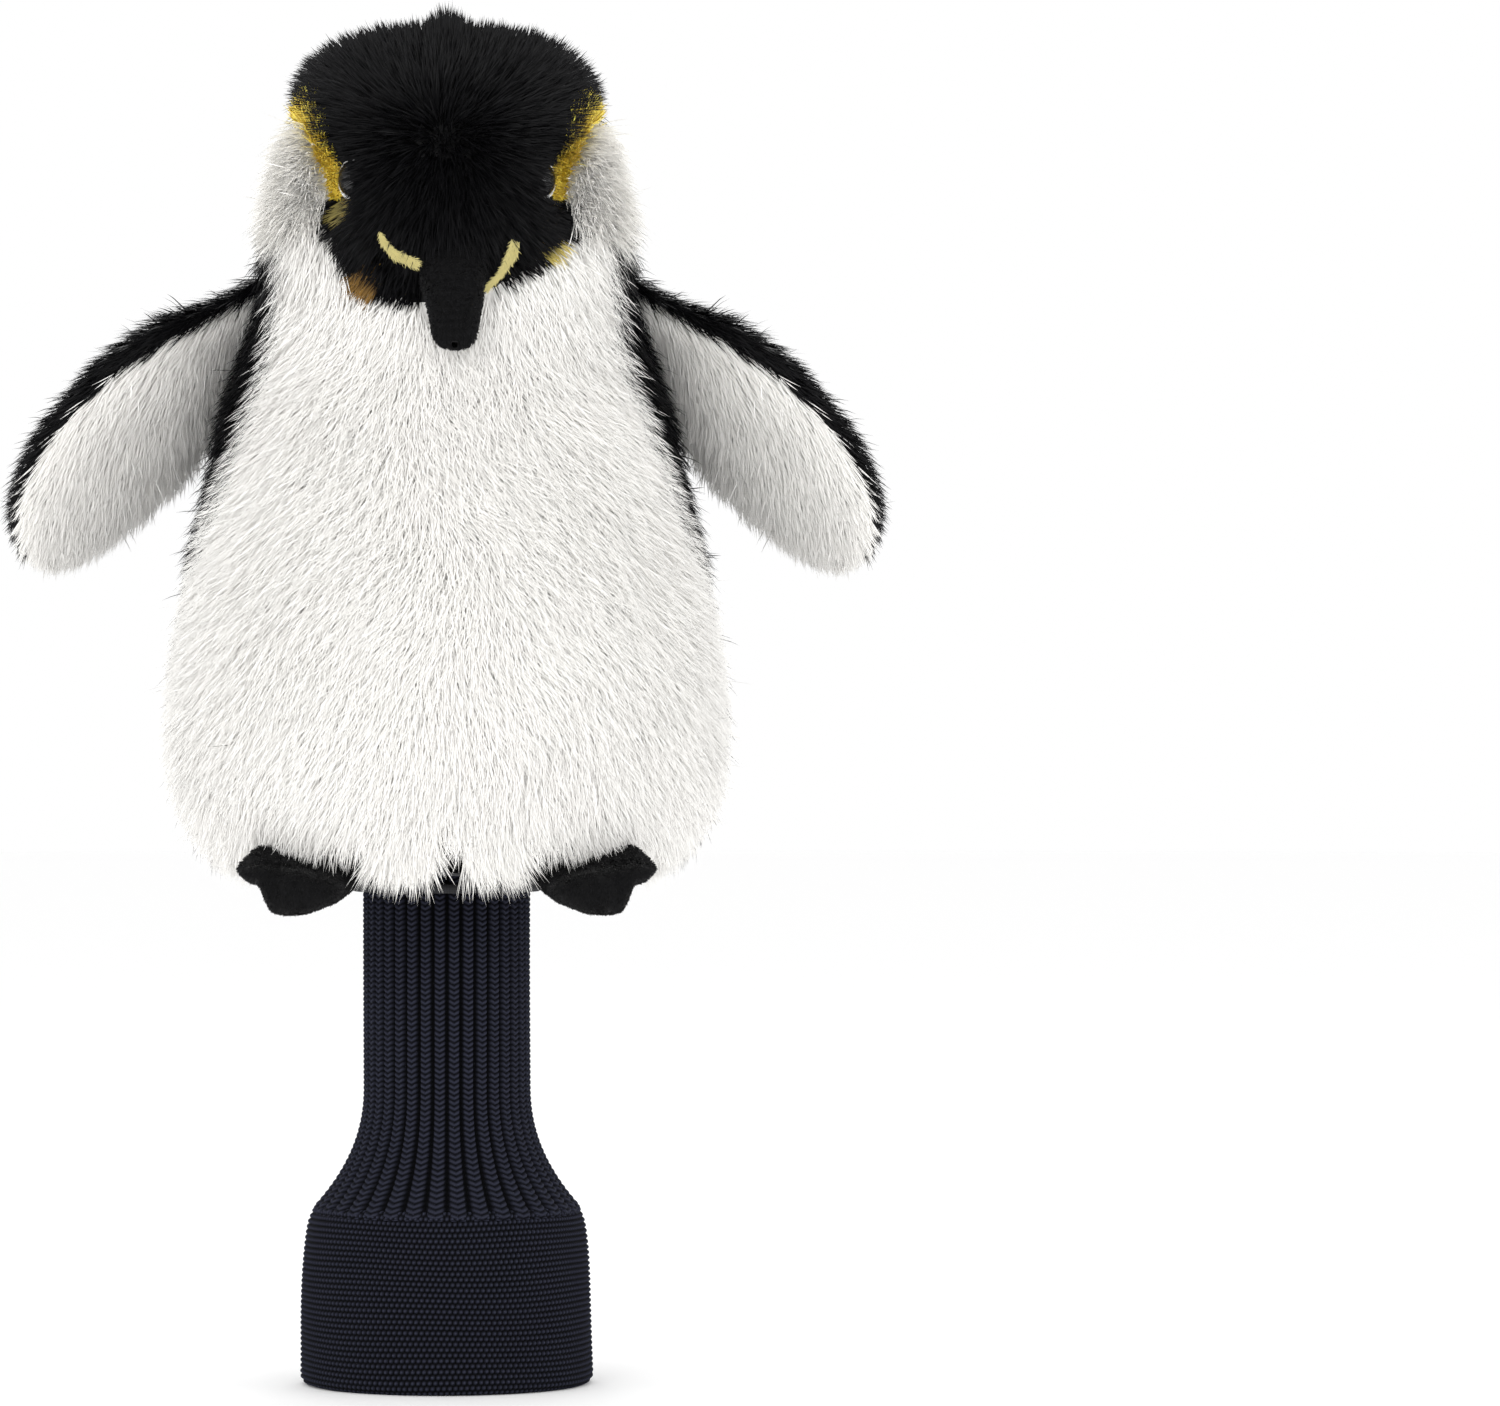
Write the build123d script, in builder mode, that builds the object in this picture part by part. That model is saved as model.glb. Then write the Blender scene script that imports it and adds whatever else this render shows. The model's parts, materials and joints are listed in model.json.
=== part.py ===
from build123d import *
import os

# Driver head cover: a stuffed plush penguin with a pouch for the club head, and a knitted sock for the
# shaft that hangs below it. Millimetres, +Z up, the penguin faces -Y, and its own left side is +X.
# The origin is the centre of the pouch mouth, where the club's neck goes in.
# Fur solids end halfway up their pile, so fur tips stand a little outside them.

# ---------------------------------------------------------------- plush form
# Level, half width, front and back of the egg-shaped body and head, from the hem to the crown.
PLUSH_STATIONS = [
    (-6, 60, -62, 66),
    (4, 75.5, -77, 79.5),
    (22, 85, -85, 85),
    (48, 85.5, -87, 86.5),
    (79, 82, -81, 84.5),
    (112, 76.5, -68, 79.5),
    (140, 70.5, -55.5, 73),
    (160, 64, -48, 67),
    (178, 60, -48, 62),
    (198, 58, -55, 57.5),
    (218, 53.5, -55.5, 50),
    (235, 46, -48.5, 40.5),
    (248, 34, -36, 28),
    (256, 17, -19, 10),
]
HEM_Z = PLUSH_STATIONS[0][0]
CROWN_Z = PLUSH_STATIONS[-1][0]
FUR_CLOTH = 5  # backing and half of the pile
REACH = 120  # farther than any point of the plush from the Z axis
STUFFING_SPLIT_Z = 176  # where the body padding ends and the head stuffing starts

# Side seam between the white belly and the black back, as y and z
SIDE_SEAM = [(-20, HEM_Z - 4), (-12, 53), (-17, 93), (-24, 143), (-20, 190), (-20, CROWN_Z + 10)]

# Lower edge of the black head, as x and z, for the left half
CHIN_CENTRE = (16, 172)
CHIN_CHEEK = (37, 191)
CHIN_SIDE_Z = 192
CHIN_BAND_TOP = [(42, 199), (34, 197), (14, 178)]

# White ear patch and the yellow band round it, as y and z
EAR_PATCH = [(-19, 195), (-22.5, 204), (-21, 220), (-15, 228), (5, 228), (9, 220), (4, 206), (-10, 195.5)]
EAR_BAND = [(-24, 201), (-30, 211), (-27, 228), (-16, 237), (0, 238), (9.5, 229.5)]

# ---------------------------------------------------------------- face
BEAK_BASE = Vector(0, -42, 184)
BEAK_TIP = Vector(0, -61, 160)
BEAK_SECTIONS = [(0, 11.5, 9.5), (0.45, 10, 7.5), (0.85, 7.5, 5.5), (1, 5, 3.6)]  # share, half width, half depth
BEAK_CLOTH = 1.5
BILL_STRIPE = [(22, 193.5), (24, 190), (13, 177), (9, 180), (12, 185)]
EYE_CENTRE = Vector(29, -37, 210)
EYE_NORMAL = Vector(0.79, -0.6, 0.05)
EYE_RADIUS = 5.5
EYE_HEIGHT = 4
EYE_RIM_WIDTH = 0.8
EYE_POST_RADIUS = 1.6
EYE_POST_LENGTH = 8
EYE_WASHER_RADIUS = 6
EYE_WASHER_DEPTH = 3
EYE_PIT_RADIUS = 7.5

# ---------------------------------------------------------------- pouch and underside
POUCH_MOUTH_RADIUS = 27
POUCH_NECK = 10
POUCH_CURVE = [(44, 18), (59, 36), (62, 58), (59, 86), (49, 114), (30, 138)]
POUCH_TOP = 148
LINING = 1.6
BASE_THICKNESS = 2
BASE_OPENING_RADIUS = 31

# ---------------------------------------------------------------- flippers, the left one
SHOULDER_FRONT = Vector(60.5, -6, 179)
SHOULDER_BACK = Vector(53, 42, 157)
SHOULDER_GAP = Vector(6, 0.6, 1.2)  # from the shoulder seam out to the line where the flipper flexes
FLIPPER_SPAN = Vector(0.69, 0.08, -0.72)
FLIPPER_LENGTH = 104
# Share of the length, shift along the chord, half chord and half thickness
FLIPPER_STATIONS = [
    (0.02, 0, 19, 2.2),
    (0.12, 0, 23, 4.8),
    (0.26, 0, 28.5, 8.5),
    (0.5, 1, 29.5, 9.5),
    (0.72, 2, 27, 9),
    (0.87, 4, 21, 7.5),
    (0.96, 5.5, 13, 5.5),
    (1, 6.5, 6, 3),
]
FLIPPER_CLOTH = 2
TAB_LENGTH = 34
TAB_WIDTH = 6
TAB_THICKNESS = 2.4

# ---------------------------------------------------------------- feet, the left one
FOOT_BOTTOM = -14
FOOT_HEIGHT = 16
FOOT_EDGE = 5.5
FOOT_PADS = [(40, -51, 11.5), (43, -67, 12), (56, -66, 8.5), (49, -58, 13)]  # x, y and radius
FOOT_WAIST = 2.5
FOOT_CLOTH = 1.5
FOOT_TAB = (14, 6.4, 1.6)  # the strip that ties the heel to the underside, along X, Y and Z
FOOT_TAB_Z = -4
BAY_SIDES = (24, 70)
BAY = [(-32, -30), (-REACH, -30), (-REACH, 22), (-80, 13), (-32, 6)]  # y and z of the hollow above a foot

# ---------------------------------------------------------------- sock
SWING_Z = -11
RING_HALF_HEIGHT = 1.5
RING_RADII = (28.2, 30)
TUBE_RADIUS = 26
TUBE_BORE_RADIUS = 22.5
TUBE_TOP_Z = -12
TUBE_BOTTOM_Z = -74
FLARE_BOTTOM_Z = -112
FLARE_RADIUS = 42.5
CUFF_BOTTOM_Z = -168
CUFF_RADIUS = 46
CUFF_BORE_RADIUS = 40.5
CUFF_FOLD = 2
CUFF_ROUND = 5
BORE_TOP_Z = -116

os.makedirs("parts", exist_ok=True)


def finish(solid, name):
    """Label a finished sub-part and write it to its own file."""
    solid.label = name
    export_step(solid, f"parts/{name}.step")


def plush_form(inset):
    """The closed form of body and head, moved inwards by the inset."""
    with BuildPart() as form:
        for z, half_width, front, back in PLUSH_STATIONS:
            level = z - inset * (z / CROWN_Z) ** 8
            with BuildSketch(Plane.XY.offset(level)):
                with Locations((0, (front + back) / 2)):
                    Ellipse(half_width - inset, (back - front) / 2 - inset)
        loft()
    return form.part


def prism(points, plane, start, stop):
    """A straight-sided block over an outline, from one distance to another along the plane's normal."""
    with BuildPart() as block:
        with BuildSketch(plane.offset(start)):
            with BuildLine():
                Polyline(*points, close=True)
            make_face()
        extrude(amount=stop - start)
    return block.part


def beak_form(inset):
    """The tapering beak from the face to its blunt tip."""
    axis = BEAK_TIP - BEAK_BASE
    with BuildPart() as form:
        for share, half_width, half_depth in BEAK_SECTIONS:
            station = Plane(BEAK_BASE + axis * share, x_dir=(1, 0, 0), z_dir=axis)
            with BuildSketch(station.offset(-inset * share)):
                Ellipse(half_width - inset, half_depth - inset)
        loft()
    return form.part


def pouch_form(outset):
    """The bottle-shaped pouch for the club head, turned about Z and grown by the outset."""
    with BuildPart() as form:
        with BuildSketch(Plane.XZ):
            with BuildLine():
                neck = Line((POUCH_MOUTH_RADIUS + outset, 0), (POUCH_MOUTH_RADIUS + outset, POUCH_NECK))
                curve = [neck @ 1] + [(radius + outset, z) for radius, z in POUCH_CURVE]
                bulb = Spline(*curve, (0, POUCH_TOP + outset), tangents=[(0, 1), (-1, 0)])
                Polyline(bulb @ 1, (0, 0), neck @ 0)
            make_face()
        revolve(axis=Axis.Z)
    return form.part


def flipper_form(inset):
    """The left flipper, a plump paddle whose sections all lie parallel to the shoulder seam."""
    chord = (SHOULDER_BACK - SHOULDER_FRONT).normalized()
    span = FLIPPER_SPAN.normalized()
    root = (SHOULDER_FRONT + SHOULDER_BACK) / 2 + SHOULDER_GAP
    section_normal = span - chord * span.dot(chord)
    with BuildPart() as form:
        for share, shift, half_chord, half_thickness in FLIPPER_STATIONS:
            along = share * FLIPPER_LENGTH + inset * (1 - 2 * share)
            centre = root + span * along + chord * shift
            with BuildSketch(Plane(centre, x_dir=chord, z_dir=section_normal)):
                Ellipse(half_chord - inset, max(half_thickness - inset, half_thickness / 3))
        loft()
    return form.part


def foot_form(inset):
    """The left foot, a webbed pad with rounded toes."""
    with BuildPart() as form:
        with BuildSketch(Plane.XY.offset(FOOT_BOTTOM + inset)) as pads:
            for x, y, radius in FOOT_PADS:
                with Locations((x, y)):
                    Circle(radius - inset)
            fillet(pads.vertices(), FOOT_WAIST)
        extrude(amount=FOOT_HEIGHT - 2 * inset)
        fillet(form.faces().filter_by(Axis.Z).edges(), FOOT_EDGE - inset)
    return form.part


def ring(name, points):
    """A turned sub-part from its outline of radius and height."""
    with BuildPart() as turned:
        with BuildSketch(Plane.XZ):
            with BuildLine():
                Polyline(*points, close=True)
            make_face()
        revolve(axis=Axis.Z)
    finish(turned.part, name)


outer_form = plush_form(0)
inner_form = plush_form(FUR_CLOTH)
fur_shell = outer_form - inner_form
lining_form = pouch_form(LINING)

# Regions that cut the fur shell into its panels
below_head = [
    (-REACH, HEM_Z - 20), (REACH, HEM_Z - 20), (REACH, CHIN_SIDE_Z), CHIN_CHEEK, CHIN_CENTRE,
    (-CHIN_CENTRE[0], CHIN_CENTRE[1]), (-CHIN_CHEEK[0], CHIN_CHEEK[1]), (-REACH, CHIN_SIDE_Z),
]
body_zone = prism(below_head, Plane.XZ, -REACH, REACH)
front_outline = SIDE_SEAM + [(-REACH, CROWN_Z + 10), (-REACH, HEM_Z - 4)]
front_zone = prism(front_outline, Plane.YZ, -REACH, REACH)
left_zone = prism([(0, -REACH), (REACH, -REACH), (REACH, REACH), (0, REACH)], Plane.XY, -20, CROWN_Z + 20)
bay_left = prism(BAY, Plane.YZ, *BAY_SIDES)
foot_bays = bay_left + mirror(bay_left, Plane.YZ)
beak_outer = beak_form(0)
ear_patch_zone = prism(EAR_PATCH, Plane.YZ, 0, REACH)
ear_band_zone = prism(EAR_BAND + EAR_PATCH[4:0:-1], Plane.YZ, 0, REACH)
chin_band_zone = prism([CHIN_CENTRE, CHIN_CHEEK] + CHIN_BAND_TOP, Plane.XZ, 0, REACH)
bill_stripe_zone = prism(BILL_STRIPE, Plane.XZ, 0, REACH)
eye_plane = Plane(EYE_CENTRE, z_dir=EYE_NORMAL)
eye_pit = extrude(eye_plane * Circle(EYE_PIT_RADIUS), 40)
eye_post_space = extrude(eye_plane * Circle(EYE_WASHER_RADIUS + 0.5), -EYE_POST_LENGTH - 1)
eye_space = eye_pit + eye_post_space

# ---------------------------------------------------------------- body panels
with BuildPart() as belly_panel:
    add(fur_shell)
    add(front_zone, mode=Mode.INTERSECT)
    add(body_zone, mode=Mode.INTERSECT)
    add(foot_bays, mode=Mode.SUBTRACT)
    add(beak_outer, mode=Mode.SUBTRACT)
finish(belly_panel.part, "belly_panel")

with BuildPart() as base_panel:
    with BuildSketch(Plane.XY.offset(HEM_Z - BASE_THICKNESS)):
        _, hem_half_width, hem_front, hem_back = PLUSH_STATIONS[0]
        with Locations((0, (hem_front + hem_back) / 2)):
            Ellipse(hem_half_width, (hem_back - hem_front) / 2)
        Circle(BASE_OPENING_RADIUS, mode=Mode.SUBTRACT)
    extrude(amount=BASE_THICKNESS)
    add(foot_bays, mode=Mode.SUBTRACT)
finish(base_panel.part, "base_panel")

with BuildPart() as lining_pouch:
    add(lining_form)
    add(pouch_form(0), mode=Mode.SUBTRACT)
finish(lining_pouch.part, "lining_pouch")

with BuildPart() as body_padding:
    add(inner_form)
    with BuildSketch(Plane.XY.offset(STUFFING_SPLIT_Z)):
        Rectangle(2 * REACH, 2 * REACH)
    extrude(amount=REACH, mode=Mode.SUBTRACT)
    with BuildSketch(Plane.XY.offset(HEM_Z)):
        Circle(BASE_OPENING_RADIUS)
    extrude(amount=-HEM_Z, mode=Mode.SUBTRACT)
    add(lining_form, mode=Mode.SUBTRACT)
    add(foot_bays, mode=Mode.SUBTRACT)
    add(beak_outer, mode=Mode.SUBTRACT)
finish(body_padding.part, "body_padding")

with BuildPart() as head_stuffing:
    add(inner_form)
    with BuildSketch(Plane.XY.offset(STUFFING_SPLIT_Z)):
        Rectangle(2 * REACH, 2 * REACH)
    extrude(amount=-2 * REACH, mode=Mode.SUBTRACT)
    add(eye_space, mode=Mode.SUBTRACT)
    add(mirror(eye_space, Plane.YZ), mode=Mode.SUBTRACT)
    add(beak_outer, mode=Mode.SUBTRACT)
finish(head_stuffing.part, "head_stuffing")

# ---------------------------------------------------------------- beak
beak_middle = Plane(BEAK_BASE, x_dir=(1, 0, 0), z_dir=(BEAK_TIP - BEAK_BASE).cross(Vector(1, 0, 0)))
beak_stuffing_form = beak_form(BEAK_CLOTH)
for name, kept in (("beak_upper", Keep.TOP), ("beak_lower", Keep.BOTTOM)):
    with BuildPart() as beak_half:
        add(beak_outer)
        add(beak_stuffing_form, mode=Mode.SUBTRACT)
        split(bisect_by=beak_middle, keep=kept)
    finish(beak_half.part, name)

with BuildPart() as beak_stuffing:
    add(beak_stuffing_form)
finish(beak_stuffing.part, "beak_stuffing")

# ---------------------------------------------------------------- pieces that come in pairs
chord = (SHOULDER_BACK - SHOULDER_FRONT).normalized()
shoulder = (SHOULDER_FRONT + SHOULDER_BACK) / 2
flipper_root = shoulder + SHOULDER_GAP
flipper_face = Plane(flipper_root, x_dir=chord, z_dir=FLIPPER_SPAN.cross(chord))
flipper_core = flipper_form(FLIPPER_CLOTH)
foot_core = foot_form(FOOT_CLOTH)
foot_seam = Plane.XY.offset(FOOT_BOTTOM + FOOT_HEIGHT / 2)


def finish_pair(solid, name):
    """Write a left piece, and its mirror image as the right one."""
    finish(solid, f"{name}_left")
    finish(mirror(solid, Plane.YZ), f"{name}_right")


with BuildPart() as back_panel:
    add(fur_shell)
    add(body_zone, mode=Mode.INTERSECT)
    add(left_zone, mode=Mode.INTERSECT)
    add(front_zone, mode=Mode.SUBTRACT)
finish_pair(back_panel.part, "back_panel")

with BuildPart() as ear_patch:
    add(fur_shell)
    add(ear_patch_zone, mode=Mode.INTERSECT)
finish_pair(ear_patch.part, "ear_patch")

with BuildPart() as ear_band:
    add(fur_shell)
    add(ear_band_zone, mode=Mode.INTERSECT)
finish_pair(ear_band.part, "ear_band")

with BuildPart() as chin_band:
    add(fur_shell)
    add(chin_band_zone, mode=Mode.INTERSECT)
    add(ear_patch_zone, mode=Mode.SUBTRACT)
    add(ear_band_zone, mode=Mode.SUBTRACT)
finish_pair(chin_band.part, "chin_band")

with BuildPart() as bill_stripe:
    add(fur_shell)
    add(bill_stripe_zone, mode=Mode.INTERSECT)
    add(beak_outer, mode=Mode.SUBTRACT)
finish_pair(bill_stripe.part, "bill_stripe")

with BuildPart() as head_panel:
    add(fur_shell)
    add(left_zone, mode=Mode.INTERSECT)
    add(body_zone, mode=Mode.SUBTRACT)
    for zone in (ear_patch_zone, ear_band_zone, chin_band_zone, bill_stripe_zone, beak_outer, eye_pit):
        add(zone, mode=Mode.SUBTRACT)
finish_pair(head_panel.part, "head_panel")

with BuildPart() as eye:
    with BuildSketch(eye_plane):
        Circle(EYE_RADIUS)
    extrude(amount=EYE_HEIGHT)
    fillet(eye.faces().sort_by(Axis(EYE_CENTRE, EYE_NORMAL))[-1].edges(), EYE_HEIGHT - 0.3)
    with BuildSketch(eye_plane):
        Circle(EYE_POST_RADIUS)
    extrude(amount=-EYE_POST_LENGTH)
finish_pair(eye.part, "eye")

with BuildPart() as eye_rim:
    with BuildSketch(eye_plane):
        Circle(EYE_RADIUS + EYE_RIM_WIDTH)
        Circle(EYE_RADIUS, mode=Mode.SUBTRACT)
    extrude(amount=1)
finish_pair(eye_rim.part, "eye_rim")

with BuildPart() as eye_washer:
    with BuildSketch(eye_plane.offset(-EYE_WASHER_DEPTH)):
        Circle(EYE_WASHER_RADIUS)
        Circle(EYE_POST_RADIUS, mode=Mode.SUBTRACT)
    extrude(amount=-1.2)
finish_pair(eye_washer.part, "eye_washer")

with BuildPart() as flipper_tab:
    tab_plane = Plane(shoulder, x_dir=chord, z_dir=chord.cross(SHOULDER_GAP))
    with BuildSketch(tab_plane.offset(-TAB_THICKNESS / 2)):
        with Locations((0, SHOULDER_GAP.length - 0.4 - TAB_WIDTH / 2)):
            Rectangle(TAB_LENGTH, TAB_WIDTH)
    extrude(amount=TAB_THICKNESS)
    add(outer_form, mode=Mode.SUBTRACT)
finish_pair(flipper_tab.part, "flipper_tab")

for name, kept in (("flipper_outer", Keep.TOP), ("flipper_inner", Keep.BOTTOM)):
    with BuildPart() as flipper_half:
        add(flipper_form(0))
        add(flipper_core, mode=Mode.SUBTRACT)
        split(bisect_by=flipper_face, keep=kept)
    finish_pair(flipper_half.part, name)

with BuildPart() as flipper_stuffing:
    add(flipper_core)
finish_pair(flipper_stuffing.part, "flipper_stuffing")

for name, kept in (("foot_upper", Keep.TOP), ("foot_sole", Keep.BOTTOM)):
    with BuildPart() as foot_half:
        add(foot_form(0))
        add(foot_core, mode=Mode.SUBTRACT)
        split(bisect_by=foot_seam, keep=kept)
    finish_pair(foot_half.part, name)

with BuildPart() as foot_stuffing:
    add(foot_core)
finish_pair(foot_stuffing.part, "foot_stuffing")

with BuildPart() as foot_tab:
    heel_x = FOOT_PADS[0][0]
    with Locations((heel_x, BAY[0][0] - FOOT_TAB[1] / 2, FOOT_TAB_Z)):
        Box(*FOOT_TAB)
finish_pair(foot_tab.part, "foot_tab")

# ---------------------------------------------------------------- sock
ring("neck_binding", [
    (RING_RADII[0], SWING_Z - RING_HALF_HEIGHT), (RING_RADII[1], SWING_Z - RING_HALF_HEIGHT),
    (RING_RADII[1], SWING_Z + RING_HALF_HEIGHT), (RING_RADII[0], SWING_Z + RING_HALF_HEIGHT),
])

ring("sock_tube", [
    (TUBE_BORE_RADIUS, TUBE_TOP_Z), (TUBE_RADIUS, TUBE_TOP_Z),
    (TUBE_RADIUS, TUBE_BOTTOM_Z), (TUBE_BORE_RADIUS, TUBE_BOTTOM_Z),
])

knit = TUBE_RADIUS - TUBE_BORE_RADIUS
ring("sock_flare", [
    (TUBE_BORE_RADIUS, TUBE_BOTTOM_Z), (TUBE_RADIUS, TUBE_BOTTOM_Z),
    (FLARE_RADIUS, FLARE_BOTTOM_Z), (FLARE_RADIUS - knit, FLARE_BOTTOM_Z),
])

ring("cuff_inner", [
    (CUFF_BORE_RADIUS, BORE_TOP_Z), (CUFF_BORE_RADIUS + CUFF_FOLD, BORE_TOP_Z),
    (CUFF_BORE_RADIUS + CUFF_FOLD, CUFF_BOTTOM_Z), (CUFF_BORE_RADIUS, CUFF_BOTTOM_Z),
])

with BuildPart() as cuff_outer:
    with BuildSketch(Plane.XZ):
        with BuildLine():
            top = Line((FLARE_RADIUS - knit, FLARE_BOTTOM_Z), (FLARE_RADIUS + 0.5, FLARE_BOTTOM_Z))
            side = Spline(
                top @ 1, (CUFF_RADIUS - 1, -138), (CUFF_RADIUS, CUFF_BOTTOM_Z + 14),
                (CUFF_RADIUS - 1, CUFF_BOTTOM_Z + CUFF_ROUND),
                (CUFF_BORE_RADIUS + CUFF_FOLD, CUFF_BOTTOM_Z),
            )
            Polyline(
                side @ 1, (CUFF_BORE_RADIUS + CUFF_FOLD, BORE_TOP_Z),
                (FLARE_RADIUS - knit, BORE_TOP_Z), top @ 0,
            )
        make_face()
    revolve(axis=Axis.Z)
finish(cuff_outer.part, "cuff_outer")
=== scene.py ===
import json
import math

import bpy
import numpy as np
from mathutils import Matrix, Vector


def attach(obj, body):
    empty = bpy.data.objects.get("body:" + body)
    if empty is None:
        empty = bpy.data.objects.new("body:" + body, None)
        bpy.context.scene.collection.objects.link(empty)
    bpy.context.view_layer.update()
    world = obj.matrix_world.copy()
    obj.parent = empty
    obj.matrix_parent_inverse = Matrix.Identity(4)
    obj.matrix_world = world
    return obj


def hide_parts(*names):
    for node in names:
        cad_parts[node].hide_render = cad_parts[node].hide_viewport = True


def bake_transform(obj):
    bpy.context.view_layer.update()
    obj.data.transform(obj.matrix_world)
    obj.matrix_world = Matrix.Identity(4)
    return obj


# The looks of the plush penguin driver head cover. Lengths are in millimetres until a mesh is made.
# +X is the penguin's own left, -Y is the way it faces and Z is 0 at the mouth of the pouch.

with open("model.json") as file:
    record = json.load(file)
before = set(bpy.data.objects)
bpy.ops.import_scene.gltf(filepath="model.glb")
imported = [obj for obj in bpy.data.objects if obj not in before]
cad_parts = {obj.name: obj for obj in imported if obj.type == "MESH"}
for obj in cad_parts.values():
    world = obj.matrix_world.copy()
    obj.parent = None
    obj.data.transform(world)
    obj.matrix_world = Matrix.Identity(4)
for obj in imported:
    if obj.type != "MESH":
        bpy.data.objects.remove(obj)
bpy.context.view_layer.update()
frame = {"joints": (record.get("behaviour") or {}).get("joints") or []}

MM = 0.001
SEED = 11

# ---------------------------------------------------------------- form of the plush
# Level, half width, front and back halfway up the pile, from the hem to the crown
PLUSH_STATIONS = np.array([
    (-6, 61, -62, 66),
    (4, 78, -77, 79.5),
    (22, 87, -85, 85),
    (48, 88, -87, 86.5),
    (79, 84, -81, 84.5),
    (112, 76.5, -68, 79.5),
    (140, 70.5, -55.5, 73),
    (160, 64, -48, 67),
    (178, 60, -48, 62),
    (198, 58, -55, 57.5),
    (218, 53.5, -55.5, 50),
    (235, 49, -48.5, 40.5),
    (248, 41, -37, 29),
    (256, 25, -22, 14),
    (258, 1, -5, -3),
])
SKIN_DEPTH = 5.5
SIDE_SEAM = [  # z and y, from the hem up
    (-10, -14), (53, -9), (93, -15), (118, -21), (150, -21), (176, -15), (200, -20), (270, -20),
]
CHIN_LINE = [  # x and z
    (-100, 196), (-46, 196), (-40, 192), (-35, 185), (-31, 176), (-20, 172), (0, 171),
    (13, 174), (28, 181), (36, 187), (44, 193), (50, 196), (100, 196),
]
WHORL = np.array((0, -60, 231))
EAR_PATCH = [  # y and z round the white patch
    (-36, 196), (-37, 205), (-34, 214), (-28, 223), (-19, 230), (6, 230), (9, 220), (4, 206), (-10, 193),
]
EAR_BAND_EDGE = [(-40, 203), (-41, 208), (-38, 218), (-32, 229), (-20, 237), (0, 239), (10, 231)]
EAR_BAND = EAR_BAND_EDGE + EAR_PATCH[5:0:-1]  # its inner edge is the patch's front and top
CHIN_TUFTS = [  # x and z of the middle, half width and half height, and colour name
    (-27, 178, 5, 5.5, "gold"),
    (-35.5, 201, 4.5, 5, "olive"),
    (36.5, 187, 6, 3.2, "pale"),
]
EYE_CENTRE = np.array((29, -37, 210))
EYE_NORMAL = np.array((0.79, -0.6, 0.05)) / np.linalg.norm((0.79, -0.6, 0.05))
BILL_STRIPES = [  # x and z along each; the two sides hang unevenly
    [(-21, 192.5), (-19.4, 189), (-16.3, 185.7), (-9.4, 182.5)],
    [(21.3, 190), (19.7, 184.7), (16.6, 179.7), (12.5, 175.4)],
]
FOOT_SPAN = (22, 68)
BAY_LINE = [(-100, 9), (-80, 7), (-32, 2)]  # y and the hem's height above a foot

# ---------------------------------------------------------------- flippers, the left one
FLIPPER_SPAN = np.array((0.735, 0.08, -0.675))
FLIPPER_LENGTH = 102
# Share of the length, shift along the chord, half chord and half thickness
FLIPPER_STATIONS = np.array([
    (-0.12, 0, 15, 3.5),
    (0.02, 0, 19, 5),
    (0.12, 0, 23, 6),
    (0.26, 0, 28.5, 8.5),
    (0.5, 1, 29.5, 9.5),
    (0.72, 2, 27, 9),
    (0.87, 4, 21, 7.5),
    (0.96, 5.5, 13, 5.5),
    (1.01, 6.5, 1, 1),
])
FLIPPER_SKIN_DEPTH = 3.5
FLIPPER_TWIST = 17  # degrees about its length, which turns the white side forward

# ---------------------------------------------------------------- sock
TUBE_RADIUS = 26
RIBS = 36
STITCH = 1.65


def smooth_rows(rows, count):
    """Points on a smooth curve through the rows of a table, evenly spread from row to row."""
    padded = np.vstack([2 * rows[0] - rows[1], rows, 2 * rows[-1] - rows[-2]])
    at = np.linspace(0, len(rows) - 1, count)
    i = np.minimum(at.astype(int), len(rows) - 2)
    t = (at - i)[:, None]
    a, b, c, d = padded[i], padded[i + 1], padded[i + 2], padded[i + 3]
    return 0.5 * (2 * b + (c - a) * t + (2 * a - 5 * b + 4 * c - d) * t**2 + (3 * b - a - 3 * c + d) * t**3)


def unit(v):
    return v / np.maximum(np.linalg.norm(v, axis=-1, keepdims=True), 1e-9)


def grid_normals(points):
    """Outward normals of a closed-round grid of points (rows up, columns round)."""
    around = np.roll(points, -1, axis=1) - np.roll(points, 1, axis=1)
    up = np.gradient(points, axis=0)
    return unit(np.cross(around, up))


def plush_grid(rows=170, columns=200):
    level, half, front, back = smooth_rows(PLUSH_STATIONS, rows).T[:, :, None]
    turn = np.linspace(0, 2 * math.pi, columns, endpoint=False)[None, :]
    depth = (back - front) / 2
    middle = (back + front) / 2
    points = np.stack([half * np.cos(turn), middle + depth * np.sin(turn), level + 0 * turn], axis=-1)
    normals = grid_normals(points)
    return points, normals


def flipper_axes():
    """Root, chord and span of the left flipper. It flexes about its chord, so both come from its joint."""
    joint = next(j for j in frame["joints"] if j["name"] == "flipper_left_flex")
    return np.array(joint["pos_m"]) / MM, -np.array(joint["axis"]), unit(FLIPPER_SPAN)


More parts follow.
